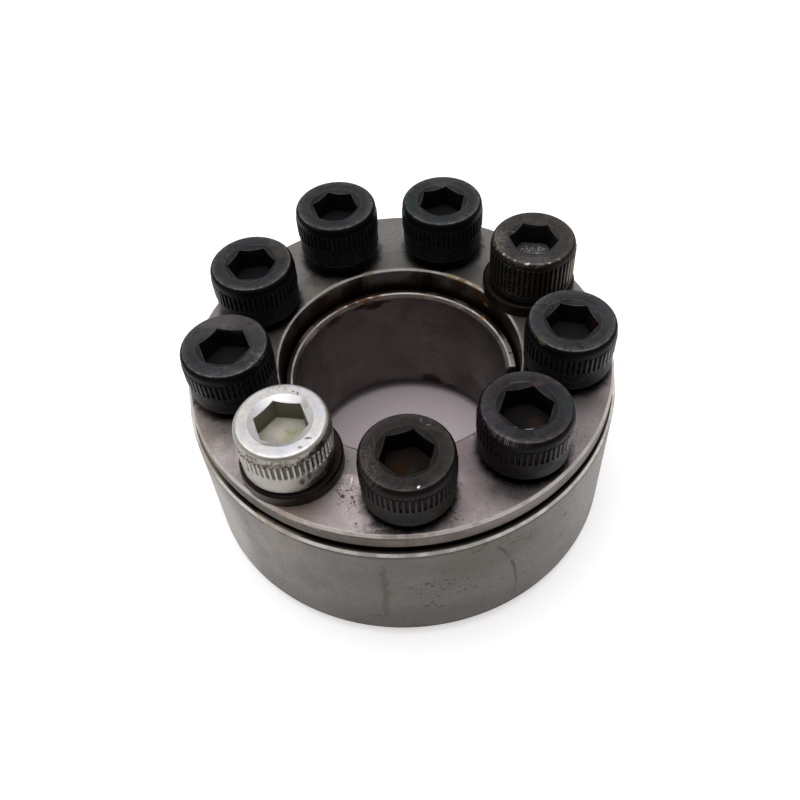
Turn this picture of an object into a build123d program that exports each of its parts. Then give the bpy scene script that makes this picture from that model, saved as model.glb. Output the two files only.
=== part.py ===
"""Keyless locking assembly (double-taper shaft-hub clamp), 25 mm shaft, 50 mm hub bore, shown loosened.

Nine cap screws draw two wedge rings together. Their cones spread a slit outer ring into the hub
and close a slit inner ring on the shaft. Millimetres, +Z up. The origin is the centre of the rear
face, which the assembly stands on, and every ring is coaxial with Z.
"""

from build123d import *
import os
from math import cos, radians, sin, tan

# Interfaces
SHAFT_DIA = 25.0
HUB_DIA = 50.0

# Slit rings: both have the same width and are mirror-symmetric about their mid-plane
RING_WIDTH = 17.0
TAPER_ANGLE = 13.0           # half angle of every cone, steep enough to release by itself
LAND_WIDTH = 4.0             # cylindrical belt between the two tapers of a ring
OUTER_LIP_RADIUS = 24.3      # outer ring's bore at its end faces
INNER_END_RADIUS = 13.6      # inner ring's outside at its end faces
OUTER_EDGE_CHAMFER = 0.35
INNER_EDGE_CHAMFER = 0.45
SLIT_WIDTH = 1.5
OUTER_SLIT_AZIMUTH = 90.0
INNER_SLIT_AZIMUTH = -6.3

# Wedge (thrust) rings
WEDGE_BORE_RADIUS = 14.1
WEDGE_INSERTION = 6.1        # how deep each wedge reaches into the slit rings when tight
REAR_STAND_OFF = 1.5         # rear face to the slit rings
REAR_RIM_RADIUS = 24.4
REAR_RIM_HEIGHT = 1.4
REAR_RIM_CHAMFER = 1.0
FRONT_STAND_OFF = 2.0        # front face to the slit rings when tight
FRONT_RIM_RADIUS = 24.5
FRONT_RIM_HEIGHT = 1.9
FRONT_RIM_CHAMFER = 0.3
BORE_EDGE_CHAMFER = 0.3
CONE_CLEARANCE = 0.03        # left between the front wedge and the slit rings when tight
LOOSENED_LIFT = 1.0          # front ring off its tapers, as the assembly is shown

# Screw circle, numbered clockwise from the front as seen from above
SCREW_COUNT = 9
SCREW_CIRCLE_RADIUS = 19.1
FIRST_SCREW_AZIMUTH = 270.0
CLEARANCE_HOLE_DIA = 6.4
TAPPED_HOLE_DIA = 6.1        # M6 thread drawn as a plain running fit
HOLE_CHAMFER = 0.4

# Push-off holes: the M8-tapped holes of the front ring that jack it off its tapers
PUSH_OFF_POSITIONS = (2, 7)
PUSH_OFF_HOLE_DIA = 6.8      # core of the M8 thread
PUSH_OFF_CHAMFER = 0.7

# M6 x 20 socket head cap screws
SHANK_DIA = 6.0
SHANK_LENGTH = 20.0
SHANK_END_CHAMFER = 0.8
HEAD_DIA = 9.8
HEAD_HEIGHT = 6.0
HEAD_TOP_ROUNDING = 0.7
HEAD_FOOT_ROUNDING = 0.3
HEX_ACROSS_FLATS = 5.0
HEX_DEPTH = 3.0
HEX_MOUTH_DIA = 6.0
HEX_MOUTH_DEPTH = 0.35
DRILL_POINT_DEPTH = 0.6
KNURL_DIA = 10.0
KNURL_GROOVE_DEPTH = 0.25
KNURL_TEETH = 52
KNURL_BAND = (2.5, 4.8)      # above the seat, on most heads
FULL_KNURL_BAND = (0.8, 5.2)
FULL_KNURL_POSITION = 7
HEAD_GAP = 1.0               # the loosened heads stand off the front ring by one turn
BACKED_OFF_FURTHER = {5: 0.8, 6: 0.4}
SOCKET_TURNS = (13.0, 48.0, 50.0, 2.0, 48.0, 15.0, 47.0, 45.5, 8.0)  # as the hexagons were left

# Washers 6.4 x 11 x 1.6 under the two screws that stand over the push-off holes
WASHER_DIA = 11.0
WASHER_HOLE_DIA = 6.6
WASHER_THICKNESS = 1.6
WASHER_EDGE_CHAMFER = 0.2
WASHER_SHIFT = 0.25          # each lies pushed to one side of its screw
WASHER_SHIFT_AZIMUTHS = {2: 35.0, 7: 175.0}
WASHER_SEAT_GAP = 0.05

# Worked-out levels and radii
slope = tan(radians(TAPER_ANGLE))
ring_middle_z = REAR_STAND_OFF + RING_WIDTH / 2
front_face_z = REAR_STAND_OFF + RING_WIDTH + FRONT_STAND_OFF + LOOSENED_LIFT
taper_rise = (RING_WIDTH - LAND_WIDTH) / 2 * slope


def revolved(section):
    """Turned piece: the closed outline of (radius, height) points swept round Z."""
    outline = Polyline(*[(radius, 0, height) for radius, height in section], close=True)
    return revolve(make_face(outline), Axis.Z)


def around_screw_circle(position):
    """Place on the screw circle for a screw position counted from 1."""
    azimuth = FIRST_SCREW_AZIMUTH - (position - 1) * 360.0 / SCREW_COUNT
    x = SCREW_CIRCLE_RADIUS * cos(radians(azimuth))
    y = SCREW_CIRCLE_RADIUS * sin(radians(azimuth))
    return Pos(x, y, 0)


def slit(ring, azimuth):
    """Ring sawn through once, from its bore outwards, at an azimuth."""
    saw_cut = Box(HUB_DIA, SLIT_WIDTH, 2 * RING_WIDTH, align=(Align.MIN, Align.CENTER, Align.CENTER))
    return ring - Rot(0, 0, azimuth) * saw_cut


def outer_ring():
    """Slit ring with a cylindrical outside and a bore that tapers in from both ends to a land."""
    half = RING_WIDTH / 2
    outside = HUB_DIA / 2
    land_radius = OUTER_LIP_RADIUS - taper_rise
    upper = [
        (land_radius, LAND_WIDTH / 2),
        (OUTER_LIP_RADIUS, half),
        (outside - OUTER_EDGE_CHAMFER, half),
        (outside, half - OUTER_EDGE_CHAMFER),
    ]
    lower = [(radius, -height) for radius, height in reversed(upper)]
    return Pos(0, 0, ring_middle_z) * slit(revolved(upper + lower), OUTER_SLIT_AZIMUTH)


def inner_ring():
    """Slit ring with a cylindrical bore and an outside that tapers out from both ends to a land."""
    half = RING_WIDTH / 2
    bore = SHAFT_DIA / 2
    land_radius = INNER_END_RADIUS + taper_rise
    upper = [
        (land_radius, LAND_WIDTH / 2),
        (INNER_END_RADIUS, half),
        (bore + INNER_EDGE_CHAMFER, half),
        (bore, half - INNER_EDGE_CHAMFER),
    ]
    lower = [(radius, -height) for radius, height in reversed(upper)]
    return Pos(0, 0, ring_middle_z) * slit(revolved(upper + lower), INNER_SLIT_AZIMUTH)


def wedge_ring(stand_off, rim_radius, rim_height, rim_chamfer, clearance):
    """Wedge ring with its face up at z = 0: rim, outer cone, inner cone and plain bore, no holes."""
    depth = stand_off + WEDGE_INSERTION

    def outer_cone(below_face):
        return OUTER_LIP_RADIUS - clearance - (below_face - stand_off) * slope

    def inner_cone(below_face):
        return INNER_END_RADIUS + clearance + (below_face - stand_off) * slope

    bore_end = stand_off + (WEDGE_BORE_RADIUS - INNER_END_RADIUS - clearance) / slope
    return revolved([
        (WEDGE_BORE_RADIUS + BORE_EDGE_CHAMFER, 0),
        (rim_radius - rim_chamfer, 0),
        (rim_radius, -rim_chamfer),
        (rim_radius, -rim_height),
        (outer_cone(rim_height), -rim_height),
        (outer_cone(depth), -depth),
        (inner_cone(depth), -depth),
        (WEDGE_BORE_RADIUS, -bore_end),
        (WEDGE_BORE_RADIUS, -BORE_EDGE_CHAMFER),
    ])


def chamfered_drill(diameter, chamfer_size):
    """Through-hole tool with its mouth at z = 0 and its countersink there, drilling down."""
    radius = diameter / 2
    return revolved([
        (0, 1),
        (radius + chamfer_size + 1, 1),
        (radius, -chamfer_size),
        (radius, -2 * RING_WIDTH),
        (0, -2 * RING_WIDTH),
    ])


def front_thrust_ring():
    """Front wedge ring: plain screw holes, and the core holes of the push-off threads."""
    ring = wedge_ring(
        FRONT_STAND_OFF, FRONT_RIM_RADIUS, FRONT_RIM_HEIGHT, FRONT_RIM_CHAMFER, CONE_CLEARANCE
    )
    for position in range(1, SCREW_COUNT + 1):
        drill = chamfered_drill(CLEARANCE_HOLE_DIA, HOLE_CHAMFER)
        if position in PUSH_OFF_POSITIONS:
            drill = chamfered_drill(PUSH_OFF_HOLE_DIA, PUSH_OFF_CHAMFER)
        ring -= around_screw_circle(position) * drill
    return Pos(0, 0, front_face_z) * ring


def rear_thrust_ring():
    """Rear wedge ring: the same wedge turned over, seated in the slit rings, its holes tapped M6."""
    ring = wedge_ring(REAR_STAND_OFF, REAR_RIM_RADIUS, REAR_RIM_HEIGHT, REAR_RIM_CHAMFER, 0)
    ring = Rot(180, 0, 0) * ring
    drill = Rot(180, 0, 0) * chamfered_drill(TAPPED_HOLE_DIA, HOLE_CHAMFER)
    for position in range(1, SCREW_COUNT + 1):
        ring -= around_screw_circle(position) * drill
    return ring


def knurled_belt(bottom, top):
    """Straight knurl: a prism whose outline runs between crest and groove once a tooth."""
    crest = KNURL_DIA / 2
    groove = crest - KNURL_GROOVE_DEPTH
    half_pitch = 180.0 / KNURL_TEETH
    corners = []
    for step in range(2 * KNURL_TEETH):
        radius = groove if step % 2 else crest
        corners.append((radius * cos(radians(step * half_pitch)), radius * sin(radians(step * half_pitch))))
    return Pos(0, 0, bottom) * extrude(make_face(Polyline(*corners, close=True)), top - bottom)


def cap_screw(knurl_band, socket_turn):
    """Socket head cap screw standing on its seat at z = 0, head up, hexagon turned about its axis."""
    base = (Align.CENTER, Align.CENTER, Align.MIN)
    knurl_bottom, knurl_top = knurl_band
    foot = Cylinder(HEAD_DIA / 2, knurl_bottom, align=base)
    foot = fillet(foot.edges().group_by(Axis.Z)[0], HEAD_FOOT_ROUNDING)
    crown = Pos(0, 0, knurl_top) * Cylinder(HEAD_DIA / 2, HEAD_HEIGHT - knurl_top, align=base)
    crown = fillet(crown.edges().group_by(Axis.Z)[-1], HEAD_TOP_ROUNDING)
    shank = Pos(0, 0, -SHANK_LENGTH) * Cylinder(SHANK_DIA / 2, SHANK_LENGTH, align=base)
    shank = chamfer(shank.edges().group_by(Axis.Z)[0], SHANK_END_CHAMFER)
    screw = foot + knurled_belt(knurl_bottom, knurl_top) + crown + shank

    hexagon = RegularPolygon(HEX_ACROSS_FLATS / 2, 6, major_radius=False)
    socket = Pos(0, 0, HEAD_HEIGHT - HEX_DEPTH) * extrude(hexagon, HEX_DEPTH)
    mouth = Pos(0, 0, HEAD_HEIGHT - HEX_MOUTH_DEPTH) * Cone(
        HEX_ACROSS_FLATS / 2, HEX_MOUTH_DIA / 2, HEX_MOUTH_DEPTH, align=base
    )
    point = Pos(0, 0, HEAD_HEIGHT - HEX_DEPTH - DRILL_POINT_DEPTH) * Cone(
        0, HEX_ACROSS_FLATS / 2, DRILL_POINT_DEPTH, align=base
    )
    return Rot(0, 0, socket_turn) * (screw - socket - mouth - point)


def push_off_washer(position):
    """Flat washer lying on the front ring over a push-off hole, shifted against its screw."""
    half = WASHER_DIA / 2
    hole = WASHER_HOLE_DIA / 2
    washer = revolved([
        (hole, 0),
        (half, 0),
        (half, WASHER_THICKNESS - WASHER_EDGE_CHAMFER),
        (half - WASHER_EDGE_CHAMFER, WASHER_THICKNESS),
        (hole, WASHER_THICKNESS),
    ])
    azimuth = radians(WASHER_SHIFT_AZIMUTHS[position])
    shift = Pos(WASHER_SHIFT * cos(azimuth), WASHER_SHIFT * sin(azimuth), front_face_z)
    return around_screw_circle(position) * shift * washer


def seat_height(position):
    """Height of a screw head's underside: on a washer, or about one turn off the front ring."""
    if position in PUSH_OFF_POSITIONS:
        return front_face_z + WASHER_THICKNESS + WASHER_SEAT_GAP
    return front_face_z + HEAD_GAP + BACKED_OFF_FURTHER.get(position, 0.0)


pieces = {
    "outer_ring": outer_ring(),
    "inner_ring": inner_ring(),
    "front_thrust_ring": front_thrust_ring(),
    "rear_thrust_ring": rear_thrust_ring(),
}
for position in range(1, SCREW_COUNT + 1):
    band = FULL_KNURL_BAND if position == FULL_KNURL_POSITION else KNURL_BAND
    screw = cap_screw(band, SOCKET_TURNS[position - 1])
    lift = Pos(0, 0, seat_height(position))
    pieces[f"cap_screw_{position}"] = around_screw_circle(position) * lift * screw
for position in PUSH_OFF_POSITIONS:
    pieces[f"push_off_washer_{position}"] = push_off_washer(position)

os.makedirs("parts", exist_ok=True)
for name, piece in pieces.items():
    piece.label = name
    export_step(piece, f"parts/{name}.step")
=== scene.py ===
"""Keyless locking assembly: two slit rings between two wedge rings, drawn together by nine M6 cap screws.

The rings keep their CAD solids and get their worn steel here. The screws are made again with their
rounded rims, straight knurl, hexagon sockets and threads. Lengths are in metres, +Z is up.
"""

import bpy
import numpy as np
from math import cos, pi, radians, sin
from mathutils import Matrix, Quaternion, Vector


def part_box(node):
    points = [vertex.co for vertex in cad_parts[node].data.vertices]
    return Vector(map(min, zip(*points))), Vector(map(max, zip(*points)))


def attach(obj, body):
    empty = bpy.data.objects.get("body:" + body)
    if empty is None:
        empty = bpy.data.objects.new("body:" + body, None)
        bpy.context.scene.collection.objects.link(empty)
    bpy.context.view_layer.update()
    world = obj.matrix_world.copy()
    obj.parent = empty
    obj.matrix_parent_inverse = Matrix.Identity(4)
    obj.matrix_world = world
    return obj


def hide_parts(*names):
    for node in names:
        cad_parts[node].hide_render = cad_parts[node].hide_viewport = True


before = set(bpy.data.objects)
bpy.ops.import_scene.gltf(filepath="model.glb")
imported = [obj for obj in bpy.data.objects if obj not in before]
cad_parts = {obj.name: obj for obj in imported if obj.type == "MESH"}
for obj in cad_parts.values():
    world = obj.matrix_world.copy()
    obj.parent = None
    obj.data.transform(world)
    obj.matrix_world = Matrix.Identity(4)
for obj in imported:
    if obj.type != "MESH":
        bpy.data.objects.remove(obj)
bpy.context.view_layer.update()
MM = 0.001


# ---------------------------------------------------------------- thrust rings and slit rings
# The four rings are turned from heat-treated steel and ground on their seats. Oil, handling and
# a little rust have dulled them. Their chamfered edges are painted bright, partly worn bare and
# partly a painted highlight; painted shade is noted where it stands.


def colour(hexadecimal):
    """Linear RGBA of an sRGB hex colour: c/12.92 up to 0.04045, else ((c + 0.055)/1.055)^2.4."""
    channels = np.array([int(hexadecimal[i : i + 2], 16) for i in (1, 3, 5)]) / 255
    linear = np.where(channels <= 0.04045, channels / 12.92, ((channels + 0.055) / 1.055) ** 2.4)
    return (*linear, 1.0)


def add(tree, kind, inputs, **settings):
    """Adds a node with its settings, and gives each input a value or a link from another socket."""
    made = tree.nodes.new("ShaderNode" + kind)
    for name, value in settings.items():
        setattr(made, name, value)
    for name, value in inputs.items():
        if isinstance(value, bpy.types.NodeSocket):
            tree.links.new(value, made.inputs[name])
        else:
            made.inputs[name].default_value = value
    return made


def new_material(name):
    """Empty node material, with the sockets that every finish here starts from."""
    material = bpy.data.materials.new(name)
    material.use_nodes = True
    tree = material.node_tree
    tree.nodes.clear()
    place = add(tree, "TexCoord", {}).outputs["Object"]
    return material, tree, place


def grain(tree, place, size, detail=3.0, roughness=0.6):
    """Noise whose lumps are `size` metres across, 0 to 1 with a mean of a half."""
    inputs = {"Vector": place, "Scale": 1 / size, "Detail": detail, "Roughness": roughness}
    return add(tree, "TexNoise", inputs).outputs["Fac"]


def ramp(tree, value, low, high, out_low=0.0, out_high=1.0):
    """Value carried from low..high to out_low..out_high, held at both ends."""
    inputs = {"Value": value, "From Min": low, "From Max": high, "To Min": out_low, "To Max": out_high}
    return add(tree, "MapRange", inputs, interpolation_type="SMOOTHSTEP").outputs["Result"]


def blend(tree, amount, first, second):
    """Colour between first and second by amount."""
    inputs = {0: amount, 6: first, 7: second}
    return add(tree, "Mix", inputs, data_type="RGBA").outputs[2]


def times(tree, first, second, operation="MULTIPLY"):
    """Product of two values, or another Math operation on them."""
    return add(tree, "Math", {0: first, 1: second}, operation=operation).outputs[0]


def ragged(tree, place, lump):
    """Place shifted by up to 0.8 of `lump` metres by noise of that size, to break up a spot's edge."""
    inputs = {"Vector": place, "Scale": 1 / lump, "Detail": 4.0, "Roughness": 0.7}
    noise = add(tree, "TexNoise", inputs).outputs["Color"]
    shift = add(tree, "VectorMath", {0: noise, 1: (0.5, 0.5, 0.5)}, operation="SUBTRACT").outputs[0]
    shift = add(tree, "VectorMath", {0: shift, 1: (lump * 1.6,) * 3}, operation="MULTIPLY").outputs[0]
    return add(tree, "VectorMath", {0: place, 1: shift}, operation="ADD").outputs[0]


def blot(tree, place, spot, size):
    """Mask of a spot: 1 inside half its half sizes (millimetres), 0 beyond 1.1 of them."""
    offset = add(tree, "VectorMath", {0: place, 1: [v * MM for v in spot]}, operation="SUBTRACT").outputs[0]
    shrink = [1 / (v * MM) for v in size]
    scaled = add(tree, "VectorMath", {0: offset, 1: shrink}, operation="MULTIPLY").outputs[0]
    reach = add(tree, "VectorMath", {0: scaled}, operation="LENGTH").outputs["Value"]
    return ramp(tree, reach, 0.5, 1.1, 1.0, 0.0)


SMALL_SPOT, FINE_EDGE, COARSE_EDGE = 1.6, 0.35 * MM, 1.5 * MM


def with_spots(tree, place, paint, spots, share=None):
    """Paint with (spot, half sizes, colour, strength) marks, held to a share of the surface if given."""
    fine, coarse = ragged(tree, place, FINE_EDGE), ragged(tree, place, COARSE_EDGE)
    for spot, size, tint, strength in spots:
        mask = times(tree, blot(tree, coarse if max(size) > SMALL_SPOT else fine, spot, size), strength)
        mask = times(tree, mask, share) if share else mask
        paint = blend(tree, mask, paint, colour(tint))
    return paint


GRAIN_RELIEF = 0.012 * MM


def finish_steel(tree, material, paint, rough, height, metallic, specular=0.5, rounding=0.0):
    """Closes a metal finish: colour, roughness and a bump of GRAIN_RELIEF on one shader.

    rounding is the radius (metres) to which the light sees sharp corners broken.
    """
    bump = add(tree, "Bump", {"Strength": 0.6, "Distance": GRAIN_RELIEF, "Height": height})
    if rounding:
        corner = add(tree, "Bevel", {"Radius": rounding}, samples=6)
        tree.links.new(corner.outputs[0], bump.inputs["Normal"])
    inputs = {"Base Color": paint, "Metallic": metallic, "Roughness": rough, "Specular IOR Level": specular}
    shader = add(tree, "BsdfPrincipled", inputs | {"Normal": bump.outputs[0]})
    add(tree, "OutputMaterial", {"Surface": shader.outputs[0]})
    return material


def band(tree, value, low, high, soft):
    """Mask of a value (metres) between low and high (millimetres), fading over soft outside them."""
    rise = ramp(tree, value, (low - soft) * MM, low * MM)
    return times(tree, rise, ramp(tree, value, high * MM, (high + soft) * MM, 1.0, 0.0))


SCREW_COUNT = 9
SCREW_CIRCLE = 19.1
EDGE_FADE = 0.08
# Painted shadow under the screw heads: full out to the first distance from a screw's axis (mm), gone by the
# second, in this near-black tint.
HEAD_SHADOW_INNER, HEAD_SHADOW_OUTER, HEAD_SHADOW_TINT = 4.5, 5.7, "#141112"


def bearing(number):
    """Angle round Z of a screw: the first stands in front, the rest follow clockwise from above."""
    return radians(270 - (number - 1) * 360 / SCREW_COUNT)


def ground_steel(
    name, base, shade, speck, zones, spots, edges=(), wear_and_highlight_tone="#d8d0c8", scores=(), peppers=(),
    head_shadow=0.0, overs=(),
):
    """Turned and ground steel, oiled and handled.

    base and shade are the clean and the dull colour, speck is the colour of the rust specks. zones
    are the differently finished faces and some bands of painted shade, as (radius low, radius high,
    height low, height high, colour, strength, softness). stains are as in stained(); some of them are
    painted shadows and highlights. edges are corners painted bright, as (radius, height, half width),
    with their colour in wear_and_highlight_tone: partly worn bare, partly a painted highlight. peppers are
    stains of fine dark grit. feet is the strength of the painted shadow, near black, under the screw heads.
    overs are stains over the edges. scores are circular scratches on the near wall, as (centre,
    radius, height low, height high, colour, strength). Lengths are in millimetres.
    """
    material, tree, place = new_material(name)
    parts = add(tree, "SeparateXYZ", {"Vector": place}).outputs
    flat = add(tree, "CombineXYZ", {"X": parts["X"], "Y": parts["Y"]}).outputs[0]
    radius = add(tree, "VectorMath", {0: flat}, operation="LENGTH").outputs["Value"]
    patches = grain(tree, place, 4.0 * MM, 5.0, 0.65)
    grit = grain(tree, place, 0.22 * MM, 2.0, 0.7)
    paint = blend(tree, ramp(tree, patches, 0.35, 0.7), colour(base), colour(shade))
    paint = blend(tree, ramp(tree, grit, 0.45, 0.75, 0.0, 0.6), paint, colour(shade))
    uneven = grain(tree, place, 1.6 * MM, 4.0, 0.7)
    for low_radius, high_radius, low_height, high_height, tint, strength, soft in zones:
        wall = band(tree, radius, low_radius, high_radius, EDGE_FADE)
        mask = times(tree, wall, band(tree, parts["Z"], low_height, high_height, soft))
        mask = times(tree, mask, ramp(tree, uneven, 0.25, 0.6, 0.9 * strength, strength))
        paint = blend(tree, mask, paint, colour(tint))
    specks = grain(tree, place, 0.5 * MM, 1.0, 0.5)
    paint = blend(tree, ramp(tree, specks, 0.7, 0.77, 0.0, 0.7), paint, colour(speck))
    paint = with_spots(tree, place, paint, spots)
    crumbs = ramp(tree, grain(tree, place, 0.2 * MM, 2.0, 0.7), 0.54, 0.64)
    paint = with_spots(tree, place, paint, peppers, crumbs)
    # Painted shadow: the face under and just round each screw head is painted near black.
    if head_shadow:
        for number in range(1, SCREW_COUNT + 1):
            stand = bearing(number)
            axis = (SCREW_CIRCLE * cos(stand) * MM, SCREW_CIRCLE * sin(stand) * MM, 0)
            ends = {0: ragged(tree, flat, 0.8 * MM), 1: axis}
            away = add(tree, "VectorMath", ends, operation="DISTANCE").outputs["Value"]
            near = ramp(tree, away, HEAD_SHADOW_INNER * MM, HEAD_SHADOW_OUTER * MM, head_shadow, 0.0)
            paint = blend(tree, near, paint, colour(HEAD_SHADOW_TINT))
    for centre, reach, low_height, high_height, tint, strength in scores:
        ends = {0: ragged(tree, place, 0.3 * MM), 1: [v * MM for v in centre]}
        line = add(tree, "VectorMath", ends, operation="SUBTRACT")
        level = add(tree, "VectorMath", {0: line.outputs[0], 1: (1, 0, 1)}, operation="MULTIPLY").outputs[0]
        away = add(tree, "VectorMath", {0: level}, operation="LENGTH").outputs["Value"]
        thin = band(tree, away, reach - 0.08, reach + 0.08, 0.15)
        thin = times(tree, thin, band(tree, parts["Z"], low_height, high_height, 1.0))
        thin = times(tree, thin, ramp(tree, parts["Y"], 0, -10 * MM, 0.0, strength))
        thin = times(tree, thin, ramp(tree, uneven, 0.35, 0.6, 0.2, 1.0))
        paint = blend(tree, thin, paint, colour(tint))
    worn = None
    # The chamfered edges are painted bright: partly worn bare, partly a painted highlight where a lamp would
    # catch their rounding.
    for edge_radius, edge_height, half_width in edges:
        across = times(tree, radius, edge_radius * MM, "SUBTRACT")
        along = times(tree, parts["Z"], edge_height * MM, "SUBTRACT")
        gap = add(tree, "CombineXYZ", {"X": across, "Y": along}).outputs[0]
        reach = add(tree, "VectorMath", {0: gap}, operation="LENGTH").outputs["Value"]
        edge_wear_and_highlight = ramp(tree, reach, 0.6 * half_width * MM, half_width * MM, 1.0, 0.0)
        worn = edge_wear_and_highlight if worn is None else times(tree, worn, edge_wear_and_highlight, "MAXIMUM")
    shine = ramp(tree, grit, 0.2, 0.9, 0.37, 0.55)
    metal = 1.0
    if edges:
        broken = times(tree, worn, ramp(tree, grain(tree, place, 1.8 * MM), 0.35, 0.6, 0.6, 1.0))
        paint = blend(tree, broken, paint, colour(wear_and_highlight_tone))
        shine = times(tree, shine, ramp(tree, broken, 0.0, 1.0, 1.0, 0.7))
        metal = ramp(tree, broken, 0.0, 1.0, 1.0, 0.35)
    paint = with_spots(tree, place, paint, overs)
    rings = add(tree, "CombineXYZ", {"X": radius, "Y": parts["Z"]}).outputs[0]
    turning = grain(tree, rings, 0.18 * MM)
    height = times(tree, times(tree, turning, 0.35), grit, "ADD")
    return finish_steel(tree, material, paint, shine, height, metal, rounding=0.2 * MM)


front_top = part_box("front_thrust_ring")[1].z / MM
outer_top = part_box("outer_ring")[1].z / MM
DARK_RUST, GRIME = "#33231a", "#2a2724"


def around(azimuth, radius, height):
    """Place in millimetres at a bearing in degrees and a radius."""
    return radius * cos(radians(azimuth)), radius * sin(radians(azimuth)), height


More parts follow.
